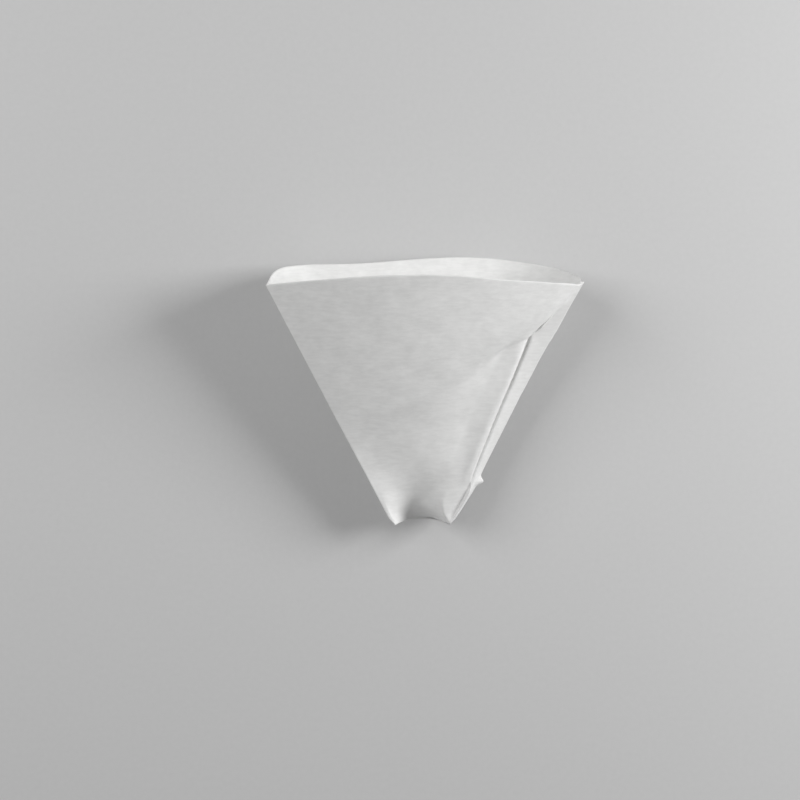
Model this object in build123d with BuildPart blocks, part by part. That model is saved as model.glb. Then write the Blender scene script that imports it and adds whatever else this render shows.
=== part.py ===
from build123d import *
import os
from math import cos, radians, sin

os.makedirs("parts", exist_ok=True)

# A trapezoid filter bag, pulled open. Its cone axis is the local Z, the mouth is up,
# the front wall is towards -Y and the back wall towards +Y. All sizes are in millimetres.

# The sheet
paper = 0.25  # thickness of one layer
flap_width = 10.4  # crimped side seam, two layers thick, measured level across the slant
bottom_flap = 8.0  # crimped bottom seam, two layers thick, turned up behind the back wall
bottom_flap_points = 5  # it ends short of the side seam, at this point of the wall
bottom_flap_inset = 0.3  # and starts this far from the left fold

# The bottom fold, pinched into a channel that opens to the front
bottom_left = (-12.4, -8.0)
bottom_right = (13.5, -7.9)
channel_depth = 18.0
channel_lean = 6.0  # its sides close in towards the back
pinch_height = 24.0  # the walls lie on each other up to here, then part
hollow_start = 4.0  # above the pinch

# The mouth plane, where the two walls' curves are drawn
mouth_above_buckle = 30.0
mouth_left = (-73.0, -20.0)
mouth_right = (75.5, 0.0)
front_reach = (49.6, 25.2)  # how the front wall leaves the left fold
front_curl = (14.0, 42.0)  # how squarely it curls back into the seam
back_pull = [(-58.0, 30.0), (50.0, 38.0)]  # control points of the back wall

# The rim, cut to a shallow arc: the sheet was trimmed on a large circle
rim_height = 124.5  # above the bottom fold
rim_radius = 335.0
rim_centre_back = 11.0
rim_trimming = 5.5  # height cut away at the middle

# The side seam's root, where both walls meet, and how far its flap is turned back. The
# wall has buckled at one place, and there the flap faces the front.
pinch_root = (24.7, -8.3)
buckle_root = (51.8, -6.0)
buckle_height = 88.0  # above the bottom fold
bottom_turn = 78  # degrees from straight out; 90 would be straight back
pinch_turn = 70
buckle_turn = 8
rim_turn = 80

# How the seam's buckle spreads into the walls
wall_fractions = [0.0, 0.2, 0.4, 0.6, 0.8, 1.0]
buckle_reach = 1.5  # more keeps it nearer the seam

# How the bag lies
axis_rise = 7.2
axis_roll = -3.7

mouth_height = buckle_height + mouth_above_buckle
above_rim = rim_height + rim_trimming


def wall_line(curve):
    """Points at the wall's generators, by length along a curve"""
    return [curve @ f for f in wall_fractions]


def between(start, end, share):
    """Points part of the way from one line to another"""
    return [a + (b - a) * share for a, b in zip(start, end)]


def seam_direction(turn):
    return Vector(cos(radians(turn)), sin(radians(turn)))


bottom_left_point = Vector(*bottom_left)
bottom_right_point = Vector(*bottom_right)
mouth_left_point = Vector(*mouth_left)
mouth_right_point = Vector(*mouth_right)
buckle_point = Vector(*buckle_root)
rim_share = (above_rim - buckle_height) / mouth_above_buckle
rim_point = buckle_point + (mouth_right_point - buckle_point) * rim_share

bottom = (0, bottom_right_point, bottom_turn)
pinch = (pinch_height, Vector(*pinch_root), pinch_turn)
buckle = (buckle_height, buckle_point, buckle_turn)
rim = (above_rim, rim_point, rim_turn)

channel_reach = channel_depth * 4 / 3  # control points stand this far back for a curve of that depth
flat_line = wall_line(Edge.make_line(bottom_left_point, bottom_right_point))
channel_line = wall_line(Edge.make_bezier(bottom_left_point,
    bottom_left_point + Vector(channel_lean, channel_reach),
    bottom_right_point + Vector(-channel_lean, channel_reach), bottom_right_point))

front_mouth = wall_line(Edge.make_bezier(mouth_left_point,
    mouth_left_point + Vector(front_reach[0], -front_reach[1]),
    mouth_right_point - Vector(*front_curl), mouth_right_point))
back_mouth = wall_line(Edge.make_bezier(mouth_left_point,
    *[Vector(*p) for p in back_pull], mouth_right_point))
middle_mouth = between(front_mouth, back_mouth, 0.5)


def inner_line(mouth_line, height, root):
    """Inside of one wall at a height, from the left fold to the seam's root"""
    opening = max(0, height - pinch_height) / (mouth_height - pinch_height)
    line = between(flat_line, middle_mouth, height / mouth_height)
    line = [point + (wall - middle) * opening for point, wall, middle in zip(line, mouth_line, middle_mouth)]
    closing = max(0, 1 - height / pinch_height)
    line = [point + (deep - flat) * closing for point, deep, flat in zip(line, channel_line, flat_line)]
    shift = root - line[-1]
    return [point + shift * f**buckle_reach for point, f in zip(line, wall_fractions)]


def wall_normals(line, outward):
    """Unit vectors out of a wall at its points; outward is 1 on the front wall, -1 on the back"""
    normals = []
    for i in range(len(line)):
        along = (line[min(i + 1, len(line) - 1)] - line[max(i - 1, 0)]).normalized()
        normals.append(Vector(along.Y, -along.X) * outward)
    return normals


def outer_line(line, outward, flap_normal):
    """Outside of a wall one layer away, ending where it meets its side of the flap"""
    normals = wall_normals(line, outward)
    moved = [point + normal * paper for point, normal in zip(line, normals)]
    corner = (normals[-1] + flap_normal) * (paper / (1 + normals[-1].dot(flap_normal)))
    moved[-1] = line[-1] + corner
    return moved


def wall_curve(points):
    """Adds a wall's curve to the line being drawn"""
    add(Edge.make_spline(points, parameters=wall_fractions))


with BuildPart() as bag:
    # The outside of both walls, with the flap as a two-layer tail
    for height, root, turn in [bottom, pinch, buckle, rim]:
        direction = seam_direction(turn)
        flap_normal = Vector(direction.Y, -direction.X)
        front = outer_line(inner_line(front_mouth, height, root), 1, flap_normal)
        back = outer_line(inner_line(back_mouth, height, root), -1, -flap_normal)
        edge = root + direction * flap_width
        with BuildSketch(Plane.XY.offset(height)):
            with BuildLine():
                wall_curve(front)
                Polyline(front[-1], edge + flap_normal * paper, edge - flap_normal * paper, back[-1])
                wall_curve(back)
                Line(back[0], front[0])
            make_face()
    loft(ruled=True)

    # The inside, open from just above the pinch to past the rim
    start_share = hollow_start / (buckle_height - pinch_height)
    for height, root, share in [(*pinch[:2], start_share), (*buckle[:2], 0), (*rim[:2], 0)]:
        front = between(inner_line(front_mouth, height, root), inner_line(front_mouth, *buckle[:2]), share)
        back = between(inner_line(back_mouth, height, root), inner_line(back_mouth, *buckle[:2]), share)
        with BuildSketch(Plane.XY.offset(height + (buckle_height - height) * share)):
            with BuildLine():
                wall_curve(front)
                wall_curve(back)
            make_face()
    loft(ruled=True, mode=Mode.SUBTRACT)

    # The bottom seam's flap, pressed flat against the back wall
    low = inner_line(back_mouth, *bottom[:2])
    high = between(low, inner_line(back_mouth, *pinch[:2]), bottom_flap / pinch_height)
    for height, line in [(0, low), (bottom_flap, high)]:
        normals = wall_normals(line, -1)
        inside = [p + n * paper / 2 for p, n in zip(line, normals)][:bottom_flap_points]
        outside = [p + n * paper * 3 for p, n in zip(line, normals)][:bottom_flap_points]
        inset = (line[1] - line[0]).normalized() * bottom_flap_inset
        inside[0] += inset
        outside[0] += inset
        with BuildSketch(Plane.XY.offset(height)):
            with BuildLine():
                Spline(*inside)
                Spline(*outside)
                Line(inside[0], outside[0])
                Line(inside[-1], outside[-1])
            make_face()
    loft(ruled=True)

    # The rim
    with Locations((0, rim_centre_back, rim_height - rim_radius)):
        Sphere(rim_radius, mode=Mode.INTERSECT)

# The bag lies on its back wall, mouth towards +Y
with BuildPart() as filter_paper:
    lying = bag.part.rotate(Axis.Z, axis_roll).rotate(Axis.X, axis_rise - 90)
    box = lying.bounding_box()
    add(lying.moved(Location((-box.center().X, -box.center().Y, -box.min.Z))))

filter_paper.part.label = "filter_paper"
export_step(filter_paper.part, "parts/filter_paper.step")
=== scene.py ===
from math import cos, pi, radians, sin

import bpy
import numpy as np
from mathutils import Matrix, Vector


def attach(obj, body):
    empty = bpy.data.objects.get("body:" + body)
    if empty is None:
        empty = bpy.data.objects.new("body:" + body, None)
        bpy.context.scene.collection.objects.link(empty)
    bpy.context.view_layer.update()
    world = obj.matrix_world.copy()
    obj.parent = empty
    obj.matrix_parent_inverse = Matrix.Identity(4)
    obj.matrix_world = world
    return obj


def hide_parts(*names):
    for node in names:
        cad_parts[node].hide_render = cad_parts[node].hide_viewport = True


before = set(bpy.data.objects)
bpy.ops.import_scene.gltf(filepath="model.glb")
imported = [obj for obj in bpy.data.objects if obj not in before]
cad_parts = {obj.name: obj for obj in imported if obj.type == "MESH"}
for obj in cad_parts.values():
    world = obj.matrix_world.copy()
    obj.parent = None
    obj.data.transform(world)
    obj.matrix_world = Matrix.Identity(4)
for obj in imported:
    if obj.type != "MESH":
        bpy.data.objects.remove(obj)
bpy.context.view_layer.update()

# A trapezoid paper coffee filter, pulled open and lying on its back wall. It is one folded
# sheet with a crimped side seam and a crimped bottom seam. Everything is described
# upright, in millimetres: the cone axis is Z with the mouth up, the front wall is towards
# -Y, the back wall towards +Y, and the side seam towards +X. lay_down() turns it over.
# A wall is a fan of straight lines from the bottom to the rim. f numbers them, from 0 at
# the left fold to 1 at the seam's root, h is the height on them, and s is the distance
# from the seam's root.

MM = 0.001

# The sheet's thickness. The bottom seam's flap is folded up behind the back wall and ends
# at a fraction of its width.
PAPER = 0.25
BOTTOM_FLAP = 8.0
BOTTOM_FLAP_END = 0.8

# The bottom fold is pinched into a channel that opens to the front. Its profile is square
# at the fold and softer above, and its edges are given by height and reach.
BOTTOM_LEFT = (-12.4, -8.0)
BOTTOM_RIGHT = (13.5, -7.9)
CHANNEL_DEPTH = 16.1
CHANNEL_SQUARENESS = 2.56
CHANNEL_HEIGHT = 38.0
CHANNEL_FADING = 2.3
CHANNEL_SOFT = 14.0
CHANNEL_LEFT = [(0, -12.4), (4, -14.4), (9, -16.5), (17, -20.5), (38, -31.0)]
CHANNEL_RIGHT = [(0, 13.5), (4, 11.2), (9, 10.3), (14, 12.2), (20, 16.5), (28, 22.0),
    (38, 27.0)]

# The walls lie on each other up to the pinch, then part
PINCH_HEIGHT = 24.0
PARTING = 6.0

# The mouth: its corners, and the curves of the two walls between them
MOUTH_HEIGHT = 118.0
MOUTH_LEFT = (-73.0, -20.0)
MOUTH_RIGHT = (75.5, 0.0)
FRONT_REACH = (49.6, 25.2)
FRONT_CURL = (24.0, 38.0)
BACK_WAVE = [(-73.0, -20.0), (-71.0, -7.5), (-66.5, 5.5), (-56.0, 13.0), (-36.6, 15.5),
    (2.3, 21.6), (37.0, 25.5), (61.0, 16.5), (75.5, 0.0)]
# The wave of the back wall fades out between these heights into an even curve
WAVE_HEIGHTS = (70.0, 118.0)
BACK_PULL = [(-58.0, 30.0), (50.0, 38.0)]
CURVE_STEPS = 400

# The left fold: height and reach. Its lowest end is cut off obliquely.
LEFT_FOLD = [(0.0, -12.4), (3.0, -15.2), (118.0, -73.2), (132.0, -80.2)]

# The rim is cut to a shallow arc
RIM_HEIGHT = 124.5
RIM_RADIUS = 335.0
RIM_CENTRE_BACK = 11.0
RIM_ROUNDS = 24
# How far the trimmed rim stands above its arc: reach and height, along each wall
FRONT_TRIM = [(-75, 0.4), (-45, 0.15), (-20, 0.5), (8, 0.4), (22, -0.1), (36, -0.9),
    (59, -0.6), (69, -0.4), (73, -0.9), (75, -1.2), (90, -1.2)]
BACK_TRIM = [(-74, 0.3), (-71.5, 0.5), (-70.3, 1.9), (-68, 2.8), (-65, 3.0), (-60, 2.4),
    (-53, 1.5), (-45, 0.4), (-35, -0.7), (-25, -1.25), (-12, -1.15), (5, -0.2), (20, 0.65),
    (45, 1.15), (66, 1.2), (70.8, 1.05), (73.6, 0.9), (75.0, 0.4), (75.6, -1.0), (90, -1.2)]

# The side seam's root: height, reach and depth. It breaks at the buckle.
SEAM_BELOW = [(0, 13.5, -7.9), (4.6, 16.7, -8.0), (9.4, 19.6, -8.1), (14.2, 22.2, -8.2),
    (19.1, 24.1, -8.2), (24.0, 25.3, -8.3), (31.1, 27.9, -8.0), (40.6, 31.6, -7.7),
    (50.1, 35.2, -7.4), (59.6, 39.1, -7.0), (69.1, 43.1, -6.7), (78.6, 46.8, -6.3),
    (85.0, 49.4, -6.1), (90.1, 51.3, -5.8)]
SEAM_ABOVE = [(90.1, 51.3, -5.8), (118.0, 78.4, 0.0), (132.0, 92.0, 2.9)]
SEAM_TOP = 132.0
BUCKLE_HEIGHT = 90.1
# How far the seam's flap is turned back at a height, in degrees
SEAM_TURN = [(0, 78), (14, 76), (19, 72), (24, 68), (33, 62), (40.6, 57), (50, 50),
    (60, 44), (69, 37), (74, 33), (79, 28.5), (85, 23.5), (90.1, 20), (95, 18.5), (98, 18),
    (132, 18)]
# The flap's width by height. Above the buckle the wall hides more and more of it.
SEAM_WIDTH = [(0, 10.4), (60, 10.4), (69, 10.4), (74, 10.6), (79, 10.8), (85, 11.2),
    (90.1, 12.1), (95, 10.1), (98, 8.7), (102, 6.8), (107, 4.7), (111, 3.1), (114.5, 1.5),
    (118, 1.6), (132, 1.6)]
# How fast the seam's shape dies out in the walls, and the line along which its break does
SEAM_REACH = 1.5
CREASE_FALL = 62.0
CREASE_FALL_HEIGHTS = (20, 75)


def curve_of(points):
    """Bezier curve with the given control points"""
    t = np.linspace(0, 1, CURVE_STEPS)[:, None]
    rows = [np.array(p, float) * np.ones_like(t) for p in points]
    while len(rows) > 1:
        rows = [a + (b - a) * t for a, b in zip(rows[:-1], rows[1:])]
    return rows[0]


def smooth_table(at, knots, values):
    """Smooth interpolation between measured values"""
    knots = np.array(knots, float)
    values = np.array(values, float)
    slopes = np.gradient(values, knots)
    i = np.clip(np.searchsorted(knots, at, side="right") - 1, 0, len(knots) - 2)
    step = knots[i + 1] - knots[i]
    t = np.clip((at - knots[i]) / step, 0, 1)
    return ((1 + 2 * t) * (1 - t)**2 * values[i] + t * (1 - t)**2 * step * slopes[i]
            + t**2 * (3 - 2 * t) * values[i + 1] + t**2 * (t - 1) * step * slopes[i + 1])


def lengths_along(points):
    """How far along a line each of its points lies"""
    steps = np.linalg.norm(np.diff(points, axis=0), axis=1)
    return np.concatenate([[0], np.cumsum(steps)])


def smooth_line(points):
    """Smooth curve through a few points of the plan"""
    points = np.array(points, float)
    lengths = lengths_along(points)
    at = np.linspace(0, lengths[-1], CURVE_STEPS)
    return np.stack([smooth_table(at, lengths, points[:, k]) for k in range(2)], axis=1)


def along(curve, fractions):
    """Points of a curve at fractions of its length"""
    lengths = lengths_along(curve)
    shares = lengths / lengths[-1]
    return np.stack([np.interp(fractions, shares, curve[:, k]) for k in range(2)], axis=-1)


def eased(value, width):
    """Rises from 0 like the value itself, with a rounded start"""
    return (value + np.sqrt(value**2 + width**2)) / 2


def ramp(value, start, end):
    """Smoothly from 0 at the start to 1 at the end"""
    t = np.clip((value - start) / (end - start), 0, 1)
    return t * t * (3 - 2 * t)


def between(value, start, full, going, gone):
    """Smoothly from 0 to 1 and back to 0"""
    return ramp(value, start, full) * (1 - ramp(value, going, gone))


def bell(value, middle, width):
    """1 in the middle, fading to both sides"""
    return np.exp(-((value - middle) / width)**2)


mouth_left, mouth_right = np.array(MOUTH_LEFT), np.array(MOUTH_RIGHT)
FRONT_MOUTH = curve_of([mouth_left, mouth_left + (FRONT_REACH[0], -FRONT_REACH[1]),
    mouth_right - FRONT_CURL, mouth_right])
BACK_MOUTH = smooth_line(BACK_WAVE)
BACK_BELOW = curve_of([mouth_left, *BACK_PULL, mouth_right])


def seam_root(height):
    """Where the walls meet at the side seam"""
    below, above = (np.array(t, float) for t in (SEAM_BELOW, SEAM_ABOVE))
    low = np.clip(height, 0, BUCKLE_HEIGHT)
    high = np.clip(height, BUCKLE_HEIGHT, SEAM_TOP)
    return np.stack([np.where(height < BUCKLE_HEIGHT,
        smooth_table(low, below[:, 0], below[:, k]),
        np.interp(high, above[:, 0], above[:, k])) for k in (1, 2)], axis=-1)


def seam_direction(height):
    """Level direction from the seam's root to its free edge"""
    turn = np.radians(smooth_table(np.clip(height, 0, SEAM_TOP), *zip(*SEAM_TURN)))
    return np.stack([np.cos(turn), np.sin(turn)], axis=-1)


def channel(x, h):
    """How deep the channel is at a reach and a height"""
    left = np.interp(h, *zip(*CHANNEL_LEFT))
    right = smooth_table(np.clip(h, 0, CHANNEL_HEIGHT), *zip(*CHANNEL_RIGHT))
    from_middle = 2 * np.clip((x - left) / (right - left), 0, 1) - 1
    square = 1 - np.abs(from_middle)**CHANNEL_SQUARENESS
    soft = (1 - from_middle**2)**2
    softness = ramp(h, 0, CHANNEL_SOFT)
    fading = np.clip(1 - h / CHANNEL_HEIGHT, 0, 1)**CHANNEL_FADING
    return CHANNEL_DEPTH * (square * (1 - softness) + soft * softness) * fading


def wall_plan(is_front, f, h):
    """Inside of one wall at a fraction of its width and a height, as a point of the plan"""
    f, h = f[..., None], h[..., None]
    front, waved, plain = (along(curve, f[..., 0])
        for curve in (FRONT_MOUTH, BACK_MOUTH, BACK_BELOW))
    back = plain + (waved - plain) * ramp(h, *WAVE_HEIGHTS)
    middle = (front + back) / 2
    mouth = front if is_front else back
    rise = h / MOUTH_HEIGHT
    opening = eased(h - PINCH_HEIGHT, PARTING) / (MOUTH_HEIGHT - PINCH_HEIGHT)
    bottom = np.array(BOTTOM_LEFT) * (1 - f) + np.array(BOTTOM_RIGHT) * f
    plan = bottom + (middle - bottom) * rise + (mouth - middle) * opening

    # The seam's break spreads into the wall along a crease that falls to the left
    at = h + CREASE_FALL * (1 - f) * ramp(h, *CREASE_FALL_HEIGHTS)
    at = np.clip(at, 0, SEAM_TOP)
    even_seam = np.array(BOTTOM_RIGHT) + (mouth_right - BOTTOM_RIGHT) * at / MOUTH_HEIGHT
    plan = plan + (seam_root(at[..., 0]) - even_seam) * f**SEAM_REACH
    even_fold = BOTTOM_LEFT[0] * (1 - rise) + MOUTH_LEFT[0] * rise
    plan[..., :1] += (np.interp(h, *zip(*LEFT_FOLD)) - even_fold) * (1 - f)**2
    plan[..., 1] += channel(plan[..., 0], h[..., 0])
    return plan


def wall_point(is_front, f, h):
    """The same point with its height"""
    return np.concatenate([wall_plan(is_front, f, h), h[..., None]], axis=-1)


def unit(vectors):
    """The same directions with length 1"""
    return vectors / np.maximum(np.linalg.norm(vectors, axis=-1, keepdims=True), 1e-9)


def outward(is_front, f, h):
    """Unit normal of a wall, out of the bag"""
    beside, higher = 0.002, 0.2
    across = (wall_point(is_front, np.clip(f + beside, 0, 1), h)
              - wall_point(is_front, np.clip(f - beside, 0, 1), h))
    up = (wall_point(is_front, f, h + higher)
          - wall_point(is_front, f, np.maximum(h - higher, 0)))
    normal = unit(np.cross(across, up))
    return normal if is_front else -normal


def rim_at(is_front, x, y):
    """Height of the trimmed rim over a point of the plan"""
    drop = RIM_RADIUS - np.sqrt(RIM_RADIUS**2 - x**2 - (y - RIM_CENTRE_BACK)**2)
    knots, trims = zip(*(FRONT_TRIM if is_front else BACK_TRIM))
    return RIM_HEIGHT - drop + smooth_table(np.clip(x, knots[0], knots[-1]), knots, trims)


def rim_height(is_front, f):
    """Height at which each line of a wall's fan meets the rim"""
    h = np.full(f.shape, RIM_HEIGHT)
    for _ in range(RIM_ROUNDS):
        x, y = np.moveaxis(wall_plan(is_front, f, h), -1, 0)
        h = (h + rim_at(is_front, x, y)) / 2
    return h


# The grid of the folded sheet. Going round it: the seam flap's front layer from its free
# edge, the front wall, the left fold, the back wall and the flap's back layer. Going up it:
# the bottom flap from its free edge, the bottom fold, and the walls to the rim. The columns
# crowd towards the seam's root, and the first number of a pair counts those near it.
ROWS = 168
FRONT_COLUMNS = (20, 88)
BACK_COLUMNS = (8, 62)
NEAR_SEAM = 8.0
CROWDING = 1.4
NEAR_FOLD = [0.15, 0.5, 1.2]
STRIP = 0.02
FLAP_STEPS = np.array([0.02, 0.05, 0.08, 0.12, 0.18, 0.26, 0.38, 0.52, 0.68, 0.84, 0.93, 1.0])
BOTTOM_FLAP_ROWS = 9
BOTTOM_FOLD_ROWS = 5
UNDER_ROWS = BOTTOM_FLAP_ROWS + BOTTOM_FOLD_ROWS


def strip_width(is_front, f, h):
    """Millimetres to a whole fraction, measured on the narrow strip of a wall up to f"""
    strip = wall_point(is_front, f, h) - wall_point(is_front, f - STRIP, h)
    return np.linalg.norm(strip, axis=-1) / STRIP


def wall_columns(is_front, level):
    """Fractions, heights and distances from the seam's root for the columns of a wall"""
    near, far = FRONT_COLUMNS if is_front else BACK_COLUMNS
    root = np.ones_like(level)
    h = level * rim_height(is_front, root)
    from_root = NEAR_SEAM * np.linspace(0, 1, near)[None, :]**CROWDING
    from_root = from_root / strip_width(is_front, root, h)
    from_fold = np.array(NEAR_FOLD)[None, :] / strip_width(is_front, STRIP * root, h)
    share = np.linspace(0, 1, far + 1)[None, 1:]
    middle = from_root[:, -1:] + (1 - from_root[:, -1:] - from_fold[:, -1:]) * share
    f = 1 - np.concatenate([from_root, middle, 1 - from_fold[:, 1::-1], root], axis=1)
    h = level * rim_height(is_front, f)
    from_seam = wall_plan(is_front, f, h) - wall_plan(is_front, np.ones_like(f), h)
    return f, h, np.linalg.norm(from_seam, axis=-1)


# The sheet's slight unevenness: sixteen waves in all directions, which are flat at the
# seam and at the left fold. The back wall has other stretches of them than the front wall.
WAVE_COUNT = 16
WAVE_LENGTHS = (14, 46)
WAVE_STEEPNESS = 0.0009
BACK_WALL_WAVES = 300
NO_WAVES_NEAR_SEAM = 20
NO_WAVES_NEAR_FOLD = 0.12
rng = np.random.default_rng(7)
WAVES = [(rng.uniform(*WAVE_LENGTHS), rng.uniform(0, pi), rng.uniform(0, 2 * pi))
    for _ in range(WAVE_COUNT)]


def waviness(x, h):
    """The sheet's slight unevenness, up to a few tenths of a millimetre"""
    total = 0
    for length, heading, phase in WAVES:
        at = (x * cos(heading) + h * sin(heading)) * 2 * pi / length + phase
        total = total + length * np.sin(at)
    return total * WAVE_STEEPNESS


# Below the buckle a groove runs along the seam's root
GROOVE_DEPTH = 3.0
GROOVE_WIDTH = 0.75
GROOVE_HEIGHTS = (16, 24, 86, 91)
# Above it the wall's edge is a roll that stands over the flap. It gets lower and broader
# towards the rim, and its slope to the flap gets wider.
ROLL_LENGTH = 26.0
ROLL_PROUD = 1.9
ROLL_START = 0.2
ROLL_LOSS = 0.8
ROLL_BREADTH = (0.7, 7)
ROLL_SLOPE = (0.9, 2.2)
# A short sharp line lies beside the roll just above the buckle
LINE_DEPTH = 1.1
LINE_PLACE = 1.6
LINE_WIDTH = 0.7
LINE_SHARES = (0, 0.05, 0.15, 0.8)


def seam_relief(s, h, is_wall):
    """How far the sheet stands proud along the seam's root, by distance from it"""
    groove = -GROOVE_DEPTH * bell(s, 0, GROOVE_WIDTH) * between(h, *GROOVE_HEIGHTS)
    share = np.clip((h - BUCKLE_HEIGHT) / ROLL_LENGTH, 0, 1)
    roll = ROLL_PROUD * ramp(share, 0, ROLL_START) * (1 - ROLL_LOSS * share)
    if not is_wall:
        return groove + roll * (1 - ramp(s, 0, ROLL_SLOPE[0] + ROLL_SLOPE[1] * share))
    line = LINE_DEPTH * bell(s, LINE_PLACE, LINE_WIDTH) * between(share, *LINE_SHARES)
    return groove + roll * np.exp(-s / (ROLL_BREADTH[0] + ROLL_BREADTH[1] * share)) - line


# Beside the lowest part of the seam both walls are pressed in together
PRESS_DEPTH = 2.2
PRESS_EDGE = 0.9
PRESS_BREADTH = 3.2
PRESS_HEIGHTS = (1, 6, 13, 28)


def press(s, h):
    """How deep both walls are pressed in beside the lowest part of the seam"""
    edge = 1 - bell(s, 0, PRESS_EDGE)
    return PRESS_DEPTH * edge * np.exp(-s / PRESS_BREADTH) * between(h, *PRESS_HEIGHTS)


# A soft crease runs down to the left from the buckle and bends down. It gets rounder, and
# the rise above it slower, with the distance from the seam.
CREASE_SLOPE = 0.58
CREASE_BEND = 0.006
CREASE_ROUNDING = (0.3, 0.07)
CREASE_RISE = (5, 0.2)
# Below it the wall is flat, so it lies under its even curve
FLAT_DEPTH = 3.8
FLAT_START = (1.5, 13)
FLAT_FADE = (12, 18)
FLAT_HEIGHTS = (18, 50)
# Above it the wall bulges
BULGE_PROUD = 2.6
BULGE_START = 9
BULGE_FADE = 40
# Between the flat part and the groove stands a soft roll
SIDE_ROLL_PROUD = 0.9
SIDE_ROLL_PLACE = 3.6
SIDE_ROLL_WIDTH = 2.0
SIDE_ROLL_HEIGHTS = (16, 34, 78, 89)


def front_relief(s, h):
    """How far the front wall's dents and ridges stand proud"""
    crease = BUCKLE_HEIGHT - CREASE_SLOPE * s - CREASE_BEND * s**2
    flat = FLAT_DEPTH * ramp(s, *FLAT_START) * ramp(h, *FLAT_HEIGHTS)
    flat = flat * bell(np.maximum(s, FLAT_FADE[0]), *FLAT_FADE)
    bulge = BULGE_PROUD * (1 - np.exp(-s / BULGE_START)) * bell(s, 0, BULGE_FADE)
    past_crease = eased(h - crease, CREASE_ROUNDING[0] + CREASE_ROUNDING[1] * s)
    above = 1 - np.exp(-past_crease / (CREASE_RISE[0] + CREASE_RISE[1] * s))
    roll = SIDE_ROLL_PROUD * bell(s, SIDE_ROLL_PLACE, SIDE_ROLL_WIDTH)
    relief = (flat + bulge) * above - flat + roll * between(h, *SIDE_ROLL_HEIGHTS)
    return relief - press(s, h) + seam_relief(s, h, True)


# How far the seam's roll and groove spread into the back wall
BACK_SPREAD = 3.0


def back_relief(s, h):
    """How far the back wall stands proud where it follows the front wall's dents"""
    return press(s, h) - seam_relief(s, h, True) * bell(s, 0, BACK_SPREAD)


# A small ear sticks out of the flap's free edge, where the crimp was nipped
EAR_HEIGHT = 19.2
EAR_WIDTH = 1.6
EAR_REACH = (2.3, -1.2)


def flap_points(h, is_front):
    """One layer of the seam's flap from its root to its free edge, and its normals"""
    direction = seam_direction(h)
    s = smooth_table(h, *zip(*SEAM_WIDTH)) * FLAP_STEPS
    ear = FLAP_STEPS**3 * bell(h, EAR_HEIGHT, EAR_WIDTH)
    plan = seam_root(h) + direction * s[..., None] + ear[..., None] * EAR_REACH
    points = np.concatenate([plan, h[..., None]], axis=-1)
    normal = np.stack([direction[..., 1], -direction[..., 0], 0 * h], axis=-1)
    side = 1 if is_front else -1
    relief = seam_relief(s, h, False) + side * PAPER / 2
    return points + normal * relief[..., None], normal * side


# The fraction that marks the flap's columns, and the least cosine of half the corner
ON_FLAP = 2
BLUNTEST_MITRE = 0.5


def half_sheet(is_front):
    """One wall with its layer of the flap, from the flap's free edge to the left fold"""
    level = np.linspace(0, 1, ROWS)[:, None]
    f, h, s = wall_columns(is_front, level)
    normal = outward(is_front, f, h)
    relief = front_relief(s, h) if is_front else back_relief(s, h)
    points = wall_point(is_front, f, h)
    uneven = waviness(points[..., 0] + (0 if is_front else BACK_WALL_WAVES), h)
    calm = ramp(s, 0, NO_WAVES_NEAR_SEAM) * ramp(f, 0, NO_WAVES_NEAR_FOLD)
    flap, flap_normal = flap_points(h[:, :1] * np.ones_like(FLAP_STEPS), is_front)

    # Mitre the corner at the root
    corner = unit(normal[:, :1] + flap_normal[:, :1])
    slant = np.sum(corner * normal[:, :1], axis=-1, keepdims=True)
    normal[:, :1] = corner / np.maximum(slant, BLUNTEST_MITRE)
    points = points + normal * (relief + uneven * calm + PAPER / 2)[..., None]
    marks = np.concatenate([np.full(len(FLAP_STEPS), ON_FLAP), f[0]])
    return np.concatenate([flap[:, ::-1], points], axis=1), marks


# Where each half's bottom flap lies, in papers from the back wall's inside. The front
# half's is the outer one.
BOTTOM_LAYERS = {True: 2.5, False: 1.5}


def under_rows(f, is_front):
    """The bottom flap behind the back wall from its free edge down, and the bottom fold"""
    inside = np.minimum(f, BOTTOM_FLAP_END)[None, :]
    layer = BOTTOM_LAYERS[is_front]
    rows = []
    for h in np.linspace(BOTTOM_FLAP, 0, BOTTOM_FLAP_ROWS):
        height = np.full_like(inside, h)
        start, out = wall_point(False, inside, height), outward(False, inside, height)
        rows.append(start + out * layer * PAPER)
    radius = (layer - 1) * PAPER
    for angle in np.linspace(0, pi, BOTTOM_FOLD_ROWS + 2)[1:-1]:
        turned = start + out * (PAPER + radius * cos(angle))
        turned[..., 2] -= radius * sin(angle)
        rows.append(turned)
    return np.concatenate(rows, axis=0)


def whole_sheet():
    """Points of the folded sheet's grid, and the fraction of the wall for each column"""
    (front, front_f), (back, back_f) = half_sheet(True), half_sheet(False)
    front = np.concatenate([under_rows(front_f, True), front], axis=0)
    back = np.concatenate([under_rows(back_f, False), back], axis=0)
    # The left fold is one column, out from both walls as the even columns next to it see it
    left = (front[:, -1:] + back[:, -1:]) / 2
    even = [-1 - len(NEAR_FOLD)]
    along_walls = unit(front[:, even] - left) + unit(back[:, even] - left)
    left = left - unit(along_walls) * PAPER / 2
    return (np.concatenate([front[:, :-1], left, back[:, -2::-1]], axis=1),
        np.concatenate([front_f, back_f[-2::-1]]))


sheet, column_f = whole_sheet()
face_row = np.arange(len(sheet) - 1)[:, None]
face_f = np.maximum(column_f[:-1], column_f[1:])[None, :]
# Faces of the sheet: the bottom seam ends before the side seam's flap, and both are crimped
kept = (face_f <= BOTTOM_FLAP_END) | (face_row >= UNDER_ROWS)
crimped = (face_f >= ON_FLAP) | (face_row < BOTTOM_FLAP_ROWS)

# How the bag lies, in degrees, and the middle of the lying bag's box
AXIS_RISE = 7.2
AXIS_ROLL = -3.7
BOX_MIDDLE = (2.7999, 62.6026)


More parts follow.
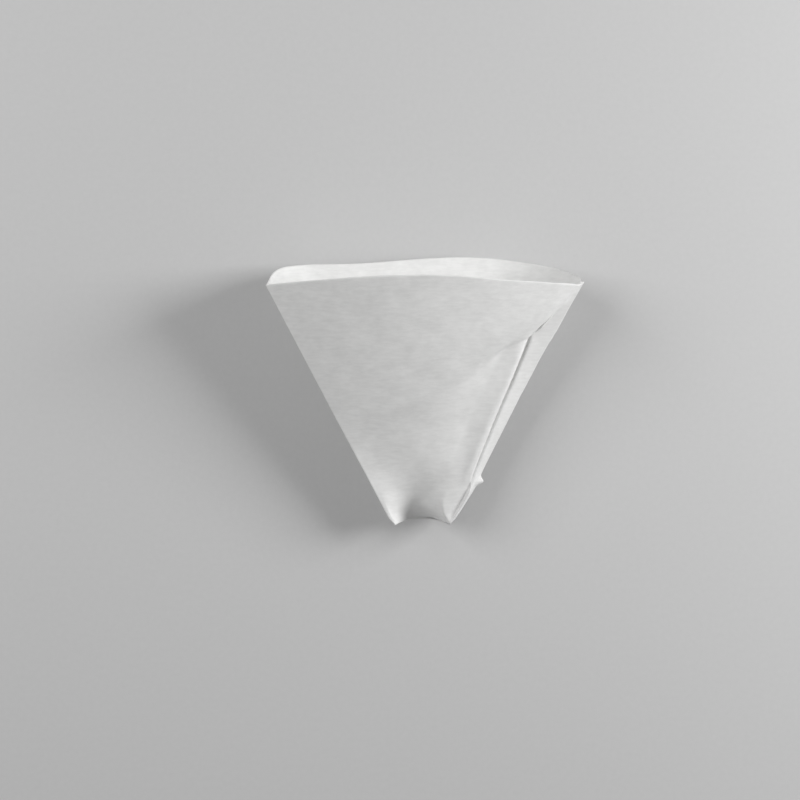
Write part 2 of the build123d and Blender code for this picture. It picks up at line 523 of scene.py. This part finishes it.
def lay_down(points):
    """Turns upright points into the lying bag"""
    roll, rise = radians(AXIS_ROLL), radians(AXIS_RISE - 90)
    x, y, z = np.moveaxis(np.asarray(points), -1, 0)
    x, y = x * cos(roll) - y * sin(roll), x * sin(roll) + y * cos(roll)
    return np.stack([x, y * cos(rise) - z * sin(rise), y * sin(rise) + z * cos(rise)], axis=-1)


lowest = lay_down(sheet)[..., 2].min() - PAPER / 2
floor_middle = np.array([*BOX_MIDDLE, lowest])


def in_scene(points):
    """Upright points as they lie in the scene, in metres"""
    return (lay_down(points) - floor_middle) * MM


def sheet_mesh(name, points, kept, crimped):
    """Mesh of a grid of points, with the kept faces only"""
    rows, columns = points.shape[:2]
    index = np.arange(rows * columns).reshape(rows, columns)
    faces = np.stack([index[:-1, :-1], index[:-1, 1:], index[1:, 1:], index[1:, :-1]], axis=-1)
    used, faces = np.unique(faces[kept], return_inverse=True)
    mesh = bpy.data.meshes.new(name)
    mesh.from_pydata(points.reshape(-1, 3)[used].tolist(), [], faces.reshape(-1, 4).tolist())
    mesh.polygons.foreach_set("use_smooth", [True] * len(mesh.polygons))
    mesh.polygons.foreach_set("material_index", crimped[kept].astype(int).tolist())
    mesh.update()
    made = bpy.data.objects.new(name, mesh)
    bpy.context.collection.objects.link(made)
    return made


bag = sheet_mesh("filter_bag", in_scene(sheet), kept, crimped)
thick = bag.modifiers.new("paper_thickness", "SOLIDIFY")
thick.thickness = PAPER * MM
thick.offset = 0.0
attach(bag, "root")
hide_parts("filter_paper")


def linear(hex_colour):
    """sRGB hex colour as linear RGBA"""
    parts = [int(hex_colour[i:i + 2], 16) / 255 for i in (1, 3, 5)]
    return [c / 12.92 if c <= 0.04045 else ((c + 0.055) / 1.055)**2.4 for c in parts] + [1.0]


def set_inputs(tree, node, **inputs):
    """Sets a node's inputs, each called by its name or as _number. A value is set, and a
    socket is linked from."""
    for name, value in inputs.items():
        key = int(name[1:]) if name[1:].isdigit() else name.replace("_", " ")
        if isinstance(value, bpy.types.NodeSocket):
            tree.links.new(value, node.inputs[key])
        else:
            node.inputs[key].default_value = value


def add_node(tree, kind, settings=None, **inputs):
    """A node with its settings and its inputs"""
    node = tree.nodes.new("ShaderNode" + kind)
    for name, value in (settings or {}).items():
        setattr(node, name, value)
    set_inputs(tree, node, **inputs)
    return node


def new_material(name):
    """A new material, its node tree, its shader and the place on the object"""
    made = bpy.data.materials.new(name)
    made.use_nodes = True
    tree = made.node_tree
    place = add_node(tree, "TexCoord").outputs["Object"]
    return made, tree, tree.nodes["Principled BSDF"], place


def per_metre(length):
    """Texture scale at which a feature is so many millimetres long"""
    return 1 / (length * MM)


# Bleached wood-pulp filter paper, wet-laid and creped with a blade, then dried without any
# coating. The pulp settles unevenly, so the white is faintly cloudy with short flecks that
# lie level, and the sheet is matt with fine level wrinkles. It is thin enough to glow a
# little. The flecks are 1.2 by 0.3 mm and the crepe 0.4 mm on the real sheet, too fine for
# the picture, so both are drawn about four times as coarse.
# The seams are the same paper pressed between toothed rollers: two sheets bite into each
# other and stay shut without glue. The teeth leave fine ridges, 1 mm apart and drawn a bit
# coarser, and press the paper a little denser.
CLOUD = 7.0
FLECK = (5.0, 1.3, 5.0)
CREPE = (9.0, 1.6, 9.0)
CRIMP = 1.7
WRINKLE_HEIGHT = 0.07
# Bands a unit that the wave texture draws at scale 1
WAVE_BANDS = 3.18
# The range of the two noises' sum that the tones are spread over
MOTTLE_RANGE = (0.7, 1.3)


def paper_material(name, light, dark, roughness, crimp_depth):
    """Creped filter paper, with embossed ridges where the crimp depth isn't 0"""
    made, tree, shader, place = new_material(name)
    cloud = add_node(tree, "TexNoise", Vector=place, Scale=per_metre(CLOUD), Detail=3.0,
        Roughness=0.55)
    fleck_place = add_node(tree, "VectorMath", {"operation": "MULTIPLY"}, _0=place,
        _1=[per_metre(length) for length in FLECK])
    fleck = add_node(tree, "TexNoise", Vector=fleck_place.outputs[0], Scale=1.0, Detail=2.0,
        Roughness=0.6)
    mottle = add_node(tree, "Math", {"operation": "ADD"}, _0=cloud.outputs[0],
        _1=fleck.outputs[0])
    share = add_node(tree, "MapRange", Value=mottle.outputs[0], From_Min=MOTTLE_RANGE[0],
        From_Max=MOTTLE_RANGE[1])
    tone = add_node(tree, "Mix", {"data_type": "RGBA"}, _0=share.outputs[0],
        _6=linear(dark), _7=linear(light))

    crepe_place = add_node(tree, "VectorMath", {"operation": "MULTIPLY"}, _0=place,
        _1=[per_metre(length) for length in CREPE])
    rise = add_node(tree, "TexNoise", Vector=crepe_place.outputs[0], Scale=1.0, Detail=3.0,
        Roughness=0.6, Distortion=0.4).outputs[0]
    if crimp_depth:
        ridges = add_node(tree, "TexWave", {"bands_direction": "Y"}, Vector=place,
            Scale=per_metre(CRIMP) / WAVE_BANDS, Distortion=0.3)
        rise = add_node(tree, "Math", {"operation": "MULTIPLY_ADD"},
            _0=ridges.outputs["Fac"], _1=crimp_depth, _2=rise).outputs[0]
    bump = add_node(tree, "Bump", Height=rise, Strength=0.5, Distance=WRINKLE_HEIGHT * MM)
    set_inputs(tree, shader, Base_Color=tone.outputs[2], Normal=bump.outputs[0],
        Roughness=roughness, IOR=1.5, Specular_IOR_Level=0.3, Subsurface_Weight=0.25,
        Subsurface_Radius=(1.0, 1.0, 1.0), Subsurface_Scale=PAPER * MM)
    return made


bag.data.materials.append(paper_material("filter_paper", light="#F4F4F3", dark="#E9E9E8",
    roughness=0.92, crimp_depth=0.0))
bag.data.materials.append(paper_material("crimped_filter_paper", light="#F1F1F0",
    dark="#E7E7E6", roughness=0.8, crimp_depth=0.5))

# Matt painted board, rolled on, so that it is even with a faint stipple
STIPPLE = 2.5


def board_material():
    """The painted board that the bag lies on"""
    made, tree, shader, place = new_material("floor_board")
    stipple = add_node(tree, "TexNoise", Vector=place, Scale=per_metre(STIPPLE), Detail=2.0)
    tone = add_node(tree, "Mix", {"data_type": "RGBA"}, _0=stipple.outputs[0],
        _6=linear("#CFCFCF"), _7=linear("#D4D4D4"))
    set_inputs(tree, shader, Base_Color=tone.outputs[2], Roughness=0.95,
        Specular_IOR_Level=0.2)
    return made


FLOOR_SIZE = 6.0
bpy.ops.mesh.primitive_plane_add(size=FLOOR_SIZE, location=(0, 0, 0))
floor = bpy.context.object
floor.name = "floor"
floor.data.materials.append(board_material())

# Plain soft studio light: the world, a lamp from the right and a broader one from the left
world = bpy.data.worlds.new("studio")
bpy.context.scene.world = world
world.use_nodes = True
background = world.node_tree.nodes["Background"]
background.inputs["Color"].default_value = linear("#FFFFFF")
background.inputs["Strength"].default_value = 0.2


def soft_light(name, place, size, power):
    """A square lamp that shines at the bag"""
    lamp = bpy.data.lights.new(name, "AREA")
    lamp.shape = "SQUARE"
    lamp.size = size
    lamp.energy = power
    made = bpy.data.objects.new(name, lamp)
    made.location = place
    made.rotation_euler = (-Vector(place)).to_track_quat("-Z", "Y").to_euler()
    bpy.context.collection.objects.link(made)


soft_light("key_light", place=(0.9, 0.22, 0.5), size=0.45, power=8.6)
soft_light("fill_light", place=(-0.75, 0.35, 0.75), size=0.7, power=5.2)

# Camera, given in the upright bag's own directions: how far it looks down, its distance, the
# point it aims at, and how many pixels a view as wide as it is long would have
TILT = radians(8.5)
VIEW_DISTANCE = 1150.0
AIM = np.array([-10.0, 0.0, 58.6])
PIXELS_PER_VIEW = 2421
PICTURE = 800
SENSOR = 36.0

eye = in_scene(AIM - np.array([0, cos(TILT), -sin(TILT)]) * VIEW_DISTANCE)
forward = Vector(in_scene(AIM) - eye).normalized()
side = forward.cross(Vector(lay_down([0, sin(TILT), cos(TILT)]))).normalized()
over = side.cross(forward)
camera_data = bpy.data.cameras.new("camera")
camera_data.sensor_width = SENSOR
camera_data.lens = PIXELS_PER_VIEW / PICTURE * SENSOR
camera = bpy.data.objects.new("camera", camera_data)
camera.matrix_world = Matrix((
    (side.x, over.x, -forward.x, eye[0]), (side.y, over.y, -forward.y, eye[1]),
    (side.z, over.z, -forward.z, eye[2]), (0, 0, 0, 1)))
bpy.context.collection.objects.link(camera)
bpy.context.scene.camera = camera
bpy.context.scene.view_settings.view_transform = "Standard"
